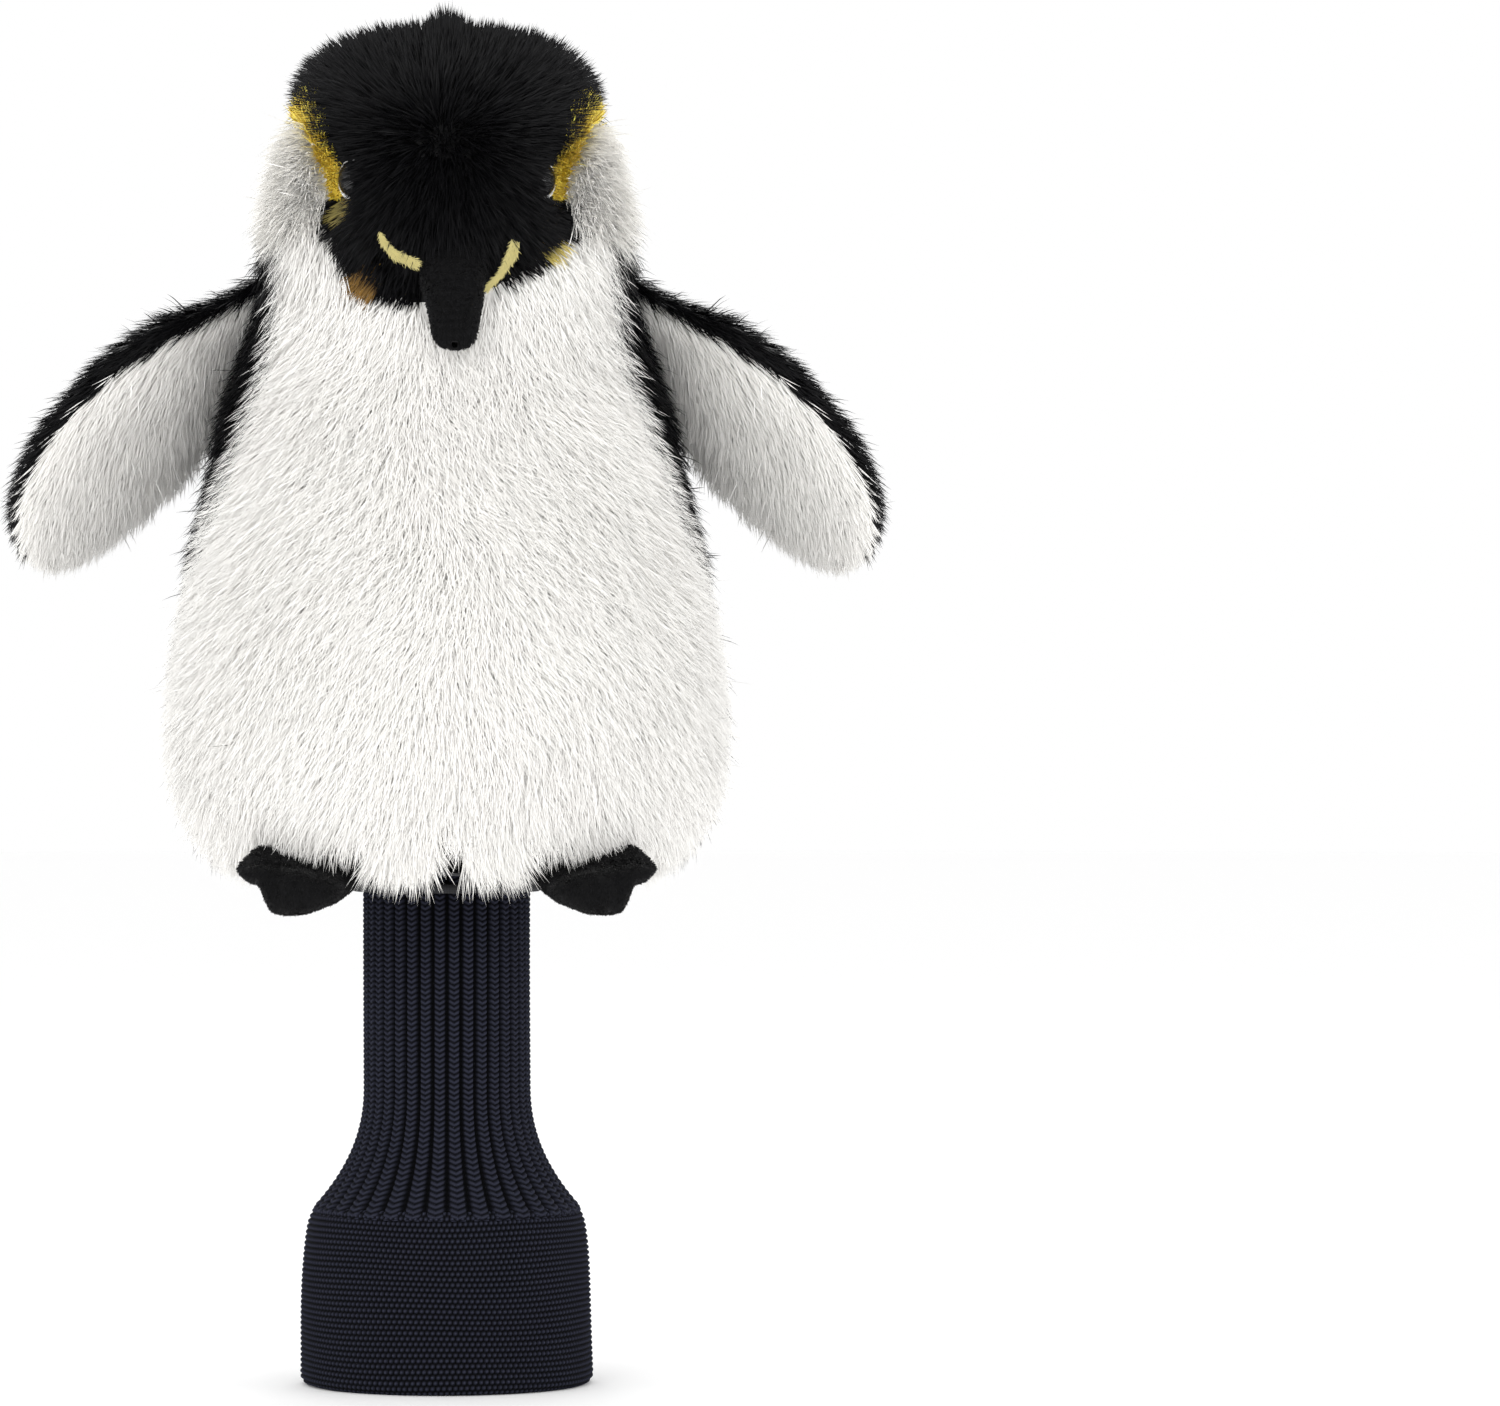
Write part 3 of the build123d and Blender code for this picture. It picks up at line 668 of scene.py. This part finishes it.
def make_flippers():
    """The outer and inner fur of the left flipper, and the same mirrored for the right."""
    root, chord, span = flipper_axes()
    points, normals = flipper_grid()
    flat, flat_normals = points.reshape(-1, 3), normals.reshape(-1, 3)
    tri = grid_triangles(*points.shape[:2])
    round_at = np.tile(np.tile(np.arange(points.shape[1]), points.shape[0] - 1), 2) / points.shape[1]
    reached = (flat[tri].mean(1) - root) @ span
    near_tip = np.clip((reached - 62) / 35, 0, 1)
    down = np.clip((reached - 12) / 45, 0, 1)
    outer = (round_at > 0.03 + 0.16 * near_tip) & (round_at < 0.6 - 0.045 * down)
    sunk = flat - flat_normals * FLIPPER_SKIN_DEPTH
    rng = np.random.default_rng(SEED + 1)
    made = {}
    for face, (colour, slot, material, looks) in FLIPPER_SIDES.items():
        chosen = tri[outer == (face == "outer")]
        style = dict(FLIPPER_STYLE, **looks)
        place, normal = scatter(flat, flat_normals, chosen, style["density"], rng)
        across = ((place - root) @ chord / 28)[:, None]
        beyond = ((place - root) @ span)[:, None]
        drift = waves(place, 40, 0.8)[:, None]
        splay = 0.2 * drift + (0.35 * across - 0.15 if face == "outer" else 0.3 + 0.5 * across)
        comb = across_surface(span + chord * splay, normal)
        shaded = np.tile(colour, (len(place), 1))
        style["length"] = style["length"] * np.clip(1 - (beyond[:, 0] - 85) / 60, 0.7, 1)
        pelt = Pelt()
        # The backing takes the strands' root factor: painted shade under the pile.
        lay_skin(pelt, sunk, flat_normals, chosen, colour * style["root_shade_tip_sheen"][0])
        grow(pelt, place - normal * FLIPPER_SKIN_DEPTH, normal, comb, style, shaded, rng)
        for side, mirrored in (("left", False), ("right", True)):
            piece = pelt.object(f"flipper_{face}_fur_{side}", material, mirrored)
            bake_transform(piece)
            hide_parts(f"flipper_{face}_{side}")
            made[face, side] = piece
    return made


flipper_fur = make_flippers()
for side in ("left", "right"):
    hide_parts(f"flipper_stuffing_{side}", f"flipper_tab_{side}")


# ---------------------------------------------------------------- velour beak and feet
VELOUR = np.array((0.005, 0.005, 0.0055))
# The nap's roots are painted at half its colour as shade and its tips at 1.7 times as sheen.
NAP = dict(length=1.5, lift=48, width=0.3, clump=2.5, gather=0.5, frizz=0.15, fan=0.6, soft=0.75,
           root_shade_tip_sheen=(0.5, 1, 1.7), mottle=0.25)
# Share of the way from face to tip, half width and half depth
BEAK_STATIONS = np.array([
    (-0.3, 10.5, 9),
    (0, 12.3, 10),
    (0.2, 11.2, 9.2),
    (0.45, 9.8, 8),
    (0.75, 8.4, 6.4),
    (0.95, 7.6, 5.2),
    (1.06, 6.3, 4.2),
    (1.12, 4, 2.4),
    (1.14, 0.3, 0.3),
])
BEAK_BASE = np.array((2, -42, 184))
BEAK_TIP = np.array((2.4, -61, 161.6))
FOOT_PADS = [(37, -52, 12.5), (43, -67, 12), (56, -66, 8.8), (49, -58, 13)]  # x, y and radius
FOOT_MIDDLE = np.array((46.5, -60.0))
FOOT_PROFILE = [  # x, top and bottom: the outer toe stands higher than the broad one beside it
    (24, -4, -9), (28, -2, -11.5), (34, 0, -15), (43, 2, -18), (50, 3, -18.5), (54, 3.5, -17.5),
    (56, 4, -14), (57.5, 4, -9.5), (61, 4, -9), (65, 3.5, -6.5),
]


def velour_piece(name, points, normals, density, rng, mirrored=False):
    """A closed velour form with its short nap standing on it."""
    flat, flat_normals = points.reshape(-1, 3), normals.reshape(-1, 3)
    tri = grid_triangles(*points.shape[:2])
    pelt = Pelt()
    # The backing is painted at 0.6 of the velour's colour: shade under the nap.
    lay_skin(pelt, flat - flat_normals * 0.6, flat_normals, tri, VELOUR * 0.6)
    place, normal = scatter(flat, flat_normals, tri, density, rng)
    lie = np.stack([waves(place, 14, 1), waves(place, 17, 2), -1 + 0 * place[:, 0]], 1)
    comb = across_surface(lie, normal)
    grow(pelt, place - normal * 0.8, normal, comb, NAP, np.tile(VELOUR, (len(place), 1)), rng)
    piece = pelt.object(name, velour, mirrored)
    return piece


def beak_grid(rows=60, columns=56):
    """The beak's points and outward normals, with a faint groove along each side where its halves meet."""
    axis = BEAK_TIP - BEAK_BASE
    across = np.array((1.0, 0, 0))
    deep = unit(np.cross(axis, across))
    share, half_width, half_depth = smooth_rows(BEAK_STATIONS, rows).T[:, :, None]
    turn = np.linspace(0, 2 * math.pi, columns, endpoint=False)[None, :]
    seam = 1 - 0.07 * np.exp(-((np.abs(np.cos(turn)) - 1) / 0.012) ** 2) * (share < 1)
    wide = (half_width * np.cos(turn) * seam)[..., None] * across
    thick = (half_depth * np.sin(turn))[..., None] * deep
    droop = (share**2)[..., None] * np.array((0, 1.5, -1.5))
    middle = BEAK_BASE + share[..., None] * axis
    points = middle + droop + wide + thick
    normals = grid_normals(points)
    return points, normals * np.sign((normals * (points - middle)).sum(-1, keepdims=True))


def foot_outline(turn):
    """How far the edge of a foot is from its middle: the outline of its overlapping round pads."""
    ray = np.stack([np.cos(turn), np.sin(turn)], -1)
    reach = np.zeros(turn.shape)
    for x, y, radius in FOOT_PADS:
        centre = np.array((x, y)) - FOOT_MIDDLE
        along = ray @ centre
        miss = radius**2 - (centre @ centre - along**2)
        reach = np.maximum(reach, np.where(miss > 0, along + np.sqrt(np.maximum(miss, 0)), 0))
    for _ in range(3):
        reach = (np.roll(reach, 1) + 2 * reach + np.roll(reach, -1)) / 4
    return reach


def foot_grid(rows=48, columns=88):
    """A plump pillow over the outline, its outer toe lifted and a crease between the toes."""
    turn = np.linspace(0, 2 * math.pi, columns, endpoint=False)
    reach = foot_outline(turn)[None, :]
    tilt = np.linspace(-math.pi / 2, math.pi / 2, rows)[:, None]
    share = np.cos(tilt) ** 0.42
    x = FOOT_MIDDLE[0] + share * reach * np.cos(turn)
    y = FOOT_MIDDLE[1] + share * reach * np.sin(turn)
    across, top, bottom = np.array(FOOT_PROFILE, float).T
    top, bottom = np.interp(x, across, top), np.interp(x, across, bottom)
    top -= 5.5 * np.clip((-58 - y) / 10, 0, 1)
    z = (top + bottom) / 2 + (top - bottom) / 2 * np.sin(tilt)
    points = np.stack([x, y, z], -1)
    return points, grid_normals(points)


rng = np.random.default_rng(SEED + 2)
beak = velour_piece("beak", *beak_grid(), 7, rng)
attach(beak, "plush")
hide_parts("beak_upper", "beak_lower", "beak_stuffing")
for side, mirrored in (("left", False), ("right", True)):
    foot = velour_piece(f"foot_{side}", *foot_grid(), 4, rng, mirrored)
    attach(foot, f"foot_{side}")
    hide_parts(*[f"foot_{part}_{side}" for part in ("upper", "sole", "stuffing", "tab")])


# ---------------------------------------------------------------- bill stripes and eyes
def plush_section(z):
    """Half width, front and back of the plush form at a height."""
    return [np.interp(z, PLUSH_STATIONS[:, 0], PLUSH_STATIONS[:, i]) for i in (1, 2, 3)]


def on_face(x, z):
    """Y of the front of the plush form at each x and z."""
    half, front, back = plush_section(z)
    return (front + back) / 2 - (back - front) / 2 * np.sqrt(np.clip(1 - (x / half) ** 2, 0, 1))


def make_stripe(line, name, rng, width, count=1300):
    """A stripe of short pile along a line on the face, with its width from end to end."""
    share, across = rng.random(count), rng.uniform(-0.5, 0.5, count)
    x, z = along_line(line, share)
    before, after = along_line(line, share - 0.05), along_line(line, share + 0.05)
    ahead = unit(np.stack([g - h for g, h in zip(after, before)], 1))
    taper = np.interp(share, np.linspace(0, 1, len(width)), width)
    x, z = x - ahead[:, 1] * across * taper, z + ahead[:, 0] * across * taper
    place = np.stack([x, on_face(x, z) - 2.2, z], 1)
    normal = np.tile(unit(np.array((0, -0.95, -0.2))), (count, 1))
    comb = across_surface(np.stack([ahead[:, 0], 0 * x, ahead[:, 1]], 1), normal)
    # The stripe's roots are painted darker as shade in the pile, its tips slightly lighter as sheen.
    style = dict(length=2, lift=26, width=0.26, clump=0, frizz=0.2, fan=0.5, soft=0.85, root_shade_tip_sheen=(0.75, 1, 1.05))
    pelt = Pelt()
    grow(pelt, place, normal, comb, style, np.tile(PALE_YELLOW, (count, 1)), rng)
    stripe = pelt.object(name, yellow_fur)
    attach(stripe, "plush")
    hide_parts(name)


make_stripe(BILL_STRIPES[0], "bill_stripe_right", rng, width=(0.1, 1.1, 2.3, 2.7))
make_stripe(BILL_STRIPES[1], "bill_stripe_left", rng, width=(2.7, 2.5, 1.2, 0.1))


def lathe(profile, columns, origin, axis):
    """A surface turned about an axis, from radius and height pairs."""
    radius, height = np.array(profile, float).T[:, :, None]
    axis = unit(np.array(axis, float))
    side = unit(np.cross(axis, (0.1, 0.2, 1)))
    other = np.cross(axis, side)
    turn = np.linspace(0, 2 * math.pi, columns, endpoint=False)[None, :]
    ring = np.cos(turn)[..., None] * side + np.sin(turn)[..., None] * other
    return np.array(origin) + radius[..., None] * ring + (height + 0 * turn)[..., None] * axis


def grid_object(name, points, material, body, colour=(1, 1, 1), colours=None):
    """A smooth mesh from a closed-round grid, with its shade at each point."""
    flat, normals = points.reshape(-1, 3), grid_normals(points).reshape(-1, 3)
    rows, columns = points.shape[:2]
    shades = np.tile(colour, (len(flat), 1)) if colours is None else colours.reshape(-1, 3)
    mesh = bpy.data.meshes.new(name)
    r, c = np.meshgrid(np.arange(rows - 1), np.arange(columns), indexing="ij")
    a, b = (r * columns + c).ravel(), (r * columns + (c + 1) % columns).ravel()
    quads = np.stack([a, b, b + columns, a + columns], 1).astype(np.int32)
    mesh.vertices.add(len(flat))
    mesh.vertices.foreach_set("co", (flat * MM).astype(np.float32).ravel())
    mesh.loops.add(quads.size)
    mesh.loops.foreach_set("vertex_index", quads.ravel())
    mesh.polygons.add(len(quads))
    mesh.polygons.foreach_set("loop_start", np.arange(0, quads.size, 4, dtype=np.int32))
    mesh.polygons.foreach_set("use_smooth", np.ones(len(quads), bool))
    mesh.update(calc_edges=True)
    uv = np.stack([np.stack([c, r], -1), np.stack([c + 1, r], -1), np.stack([c + 1, r + 1], -1),
                   np.stack([c, r + 1], -1)], 2).reshape(-1, 2) / (columns, rows - 1)
    mesh.uv_layers.new(name="OFBake").uv.foreach_set("vector", uv.astype(np.float32).ravel())
    attribute = mesh.color_attributes.new("Pile", "FLOAT_COLOR", "POINT")
    rgba = np.column_stack([shades, np.ones(len(flat))])
    attribute.data.foreach_set("color", rgba.astype(np.float32).ravel())
    piece = bpy.data.objects.new(name, mesh)
    bpy.context.scene.collection.objects.link(piece)
    mesh.materials.append(material)
    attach(piece, body)
    return piece


EYE_RADIUS = 5.5


def rounding(steps):
    """Angles once round a small section, the last on the first."""
    return np.linspace(0, 2 * math.pi, steps)


def make_eye(side, flip):
    """A glossy dome in a rim, its pale grey partly its own and partly a painted highlight."""
    centre = EYE_CENTRE * (flip, 1, 1)
    outward = EYE_NORMAL * (flip, 1, 1)
    bend = np.linspace(math.pi / 2, 0.02, 28)
    dome = [(EYE_RADIUS * math.sin(t), 0.6 + 3.6 * math.cos(t)) for t in bend]
    post = [(1.5, -3), (EYE_RADIUS, -0.5)]
    eye = grid_object(f"eye_dome_{side}", lathe(post + dome, 48, centre, outward), eye_black, "plush")
    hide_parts(f"eye_{side}")
    ring = [(EYE_RADIUS + 0.5 + 0.6 * math.cos(t), 0.8 - 0.6 * math.sin(t)) for t in rounding(15)]
    rim = grid_object(f"eye_rim_ring_{side}", lathe(ring[::-1], 48, centre, outward), eye_rim_grey_and_highlight, "plush")
    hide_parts(f"eye_rim_{side}")
    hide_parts(f"eye_washer_{side}")


for side, flip in (("left", 1), ("right", -1)):
    make_eye(side, flip)


# ---------------------------------------------------------------- knitted sock
TUBE_TOP, FLARE_TOP, CUFF_TOP, CUFF_BOTTOM = -5.0, -74.0, -112.0, -168.0
FLARE_RADIUS, CUFF_RADIUS, CUFF_BORE = 41.2, 46.0, 40.5
CUFF_COLUMNS, CUFF_STITCH = 160, 1.7


def sock_radius(z):
    """The ribbed knitting's radius at a height: a straight tube, then the flare down to the cuff."""
    flare = np.clip((FLARE_TOP - z) / (FLARE_TOP - CUFF_TOP), 0, 1)
    return TUBE_RADIUS + (FLARE_RADIUS - TUBE_RADIUS) * flare**2.2


def ribbed(name, top, bottom, node_name):
    """A length of ribbed knitting: columns of V stitches with a deep groove between them."""
    columns = RIBS * 10
    rows = int((top - bottom) / STITCH * 7)
    z = np.linspace(bottom, top, rows)[:, None]
    turn = np.linspace(0, 2 * math.pi, columns, endpoint=False)[None, :]
    rib = (turn / (2 * math.pi) * RIBS) % 1
    off = np.abs(rib - 0.5)
    lean = 0.03 * np.sin(3 * turn + z / 19) + 0.04 * np.sin(z / 31 + 2 * turn)
    stitch = (z / STITCH - 1.5 * off + lean) % 1
    leg = np.sin(math.pi * stitch) ** 0.8
    body = np.clip((0.44 - off) / 0.16, 0, 1)
    body = body * body * (3 - 2 * body)
    split = 1 - 0.3 * np.exp(-(off / 0.05) ** 2)
    spread = sock_radius(z) / TUBE_RADIUS
    height = (1.1 * body * split + 0.75 * leg * body) * spread**0.4 - 1.3 + 3 * lean
    radius = sock_radius(z) + height
    points = np.stack([radius * np.cos(turn), radius * np.sin(turn), z + 0 * turn], -1)
    # Painted light: a highlight on the middle of each raised stitch leg and shade in the grooves between the
    # ribs.
    light = 0.1 + 4.2 * body * leg**2.4 + 0.1 * body
    piece = grid_object(name, points, knit, "sock", colours=light[..., None] * KNIT)
    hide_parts(node_name)


def plain_cuff():
    """The turned-up cuff: close small bumps in rows, rounded over at its top and bottom."""
    columns = CUFF_COLUMNS * 4
    height = CUFF_TOP - CUFF_BOTTOM
    edge = 3.2
    share = np.linspace(0, 1, 150)
    rise = np.linspace(-math.pi / 2, 0, 12)
    low = [(CUFF_RADIUS - edge + edge * math.cos(t), CUFF_BOTTOM + edge + edge * math.sin(t)) for t in rise]
    wall = [(CUFF_RADIUS - 1.6 * u - 2.6 * u**6, CUFF_BOTTOM + edge + (height - edge - 1) * u)
            for u in share[1:]]
    over = [(wall[-1][0] - 2.6 * (1 - math.cos(t)), wall[-1][1] + 1.8 * math.sin(t))
            for t in np.linspace(0.2, math.pi / 2, 6)]
    inner = [(CUFF_BORE, CUFF_BOTTOM + edge), (CUFF_BORE + 0.9, CUFF_BOTTOM + 0.8)]
    radius, z = np.array(inner + low + wall + over).T[:, :, None]
    turn = np.linspace(0, 2 * math.pi, columns, endpoint=False)[None, :]
    row = z / CUFF_STITCH + 0.15 * np.sin(4 * turn + z / 11)
    column = turn / (2 * math.pi) * CUFF_COLUMNS + 0.5 * np.floor(row)
    bump = np.abs(np.sin(math.pi * row)) * np.abs(np.sin(math.pi * column))
    dent = 0.9 * np.sin(2 * turn + 1) + 0.7 * np.sin(3 * turn + z / 17) + 0.4 * np.sin(7 * turn - z / 9)
    slack = np.clip((z - CUFF_BOTTOM) / 60, 0.1, 1) * np.clip((radius - 41) / 2, 0, 1)
    outside = radius + bump**0.8 - 0.7 + dent * slack
    points = np.stack([outside * np.cos(turn), outside * np.sin(turn), z + 0 * turn], -1)
    # Painted light: a highlight on the top of each bump and shade in the dips between them.
    light = 0.05 + 5.5 * bump**2
    piece = grid_object("cuff_knit", points, knit, "sock", colours=light[..., None] * KNIT)
    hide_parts("cuff_outer", "cuff_inner")


ribbed("sock_tube_knit", TUBE_TOP, FLARE_TOP, "sock_tube")
ribbed("sock_flare_knit", FLARE_TOP, CUFF_TOP - 2, "sock_flare")
plain_cuff()


def sock_lining():
    """The plain back of the knitting, inside the tube, the flare and the cuff."""
    rows = np.linspace(TUBE_TOP, CUFF_BOTTOM + 3, 120)
    profile = [(min(sock_radius(z) - 2.2, CUFF_BORE), z) for z in rows]
    piece = grid_object("sock_inside", lathe(profile, 180, (0, 0, 0), (0, 0, 1)), knit, "sock", KNIT)


def neck_binding():
    """The bound ring where the sock hangs from the plush."""
    radius, level = 29, -11
    ring = [(radius + 0.9 * math.cos(t), level + 1.5 * math.sin(t)) for t in rounding(15)]
    piece = grid_object("neck_binding_cloth", lathe(ring, 120, (0, 0, 0), (0, 0, 1)), cloth, "neck_ring")
    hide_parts("neck_binding")


sock_lining()
neck_binding()


# ---------------------------------------------------------------- underside and pouch
def underside():
    """The puckered cloth base, raised over each foot and turned up as a collar at the pouch's mouth."""
    mouth, level = 30, -5
    half, front, back = plush_section(-4)
    turn = np.linspace(0, 2 * math.pi, 160, endpoint=False)[None, :]
    share = np.linspace(1, 0, 40)[:, None]
    hem_x = (half - 4) * np.cos(turn)
    hem_y = (front + back) / 2 + ((back - front) / 2 - 4) * np.sin(turn)
    x = mouth * np.cos(turn) * (1 - share) + hem_x * share
    y = mouth * np.sin(turn) * (1 - share) + hem_y * share
    pucker = 0.5 * np.sin(24 * turn) * share**2 + 1.5 * np.sin(math.pi * share)
    bay = np.clip((-34 - y) / 6, 0, 1) * np.clip((np.abs(x) - 20) / 6, 0, 1)
    collar = 6.5 * np.exp(-((share / 0.03) ** 2))
    z = level - pucker * (1 - bay) + bay * 9 + collar
    piece = grid_object("underside_cloth", np.stack([x, y, z], -1), cloth, "plush")
    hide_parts("base_panel")


POUCH = [  # radius and height of the lining, from its mouth up
    (29.6, 1.5), (28, 4), (27, 10), (44, 18), (59, 36), (62, 58), (59, 86), (49, 114), (30, 138), (12, 147),
    (1, 148),
]


def pouch_lining():
    """The lining pouch, lightly creased above its mouth."""
    profile = smooth_rows(np.array(POUCH, float), 70)[::-1]
    points = lathe(profile, 120, (0, 0, 0), (0, 0, 1))
    fold = 0.012 * waves(points.reshape(-1, 3), 35, 1).reshape(points.shape[:2])[..., None]
    points[..., :2] *= 1 + fold * np.clip(points[..., 2:] / 20, 0, 1)
    piece = grid_object("pouch_lining", points, lining, "plush")
    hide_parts("lining_pouch")


underside()
pouch_lining()


# ---------------------------------------------------------------- studio
CAMERA_YAW = 2.4645  # degrees; it puts the object to the left of the view's middle


def studio():
    """A white floor and surroundings, five soft lights and the camera."""
    scene = bpy.context.scene
    scene.view_settings.view_transform = "Standard"
    floor_z = CUFF_BOTTOM * MM
    bpy.ops.mesh.primitive_circle_add(vertices=96, radius=8, fill_type="NGON", location=(0, 0, floor_z))
    floor = bpy.context.object
    floor.name = "studio_floor"
    material, _, _ = new_material("studio_white", Roughness=0.9, Base_Color=(0.99, 0.99, 0.99, 1))
    floor.data.materials.append(material)
    world = bpy.data.worlds.new("studio")
    scene.world = world
    world.use_nodes = True
    background = world.node_tree.nodes["Background"]
    background.inputs["Color"].default_value = (1, 1, 1, 1)
    background.inputs["Strength"].default_value = 1.0
    lights = [  # place, size and power of each soft light
        ((-0.7, -1.8, 0.9), 0.9, 8),
        ((0.3, -2.1, 0.05), 1.4, 12),
        ((0.0, 0.9, 1.1), 0.7, 5),
        ((-1.6, -0.9, 0.3), 0.8, 6),
        ((1.6, -0.9, 0.3), 0.8, 6),
    ]
    for number, (place, size, power) in enumerate(lights):
        lamp = bpy.data.lights.new(f"softbox_{number}", "AREA")
        lamp.size = size
        lamp.energy = power
        holder = bpy.data.objects.new(f"softbox_{number}", lamp)
        scene.collection.objects.link(holder)
        holder.location = place
        holder.rotation_euler = (Vector((0, 0, 0.05)) - Vector(place)).to_track_quat("-Z", "Y").to_euler()
    camera_data = bpy.data.cameras.new("camera")
    camera_data.lens = 169
    camera_data.sensor_width = 36
    camera = bpy.data.objects.new("camera", camera_data)
    scene.collection.objects.link(camera)
    camera.location = (0, -2.23, 0.047)
    camera.rotation_euler = (math.radians(90), 0, -math.radians(CAMERA_YAW))
    scene.camera = camera


studio()
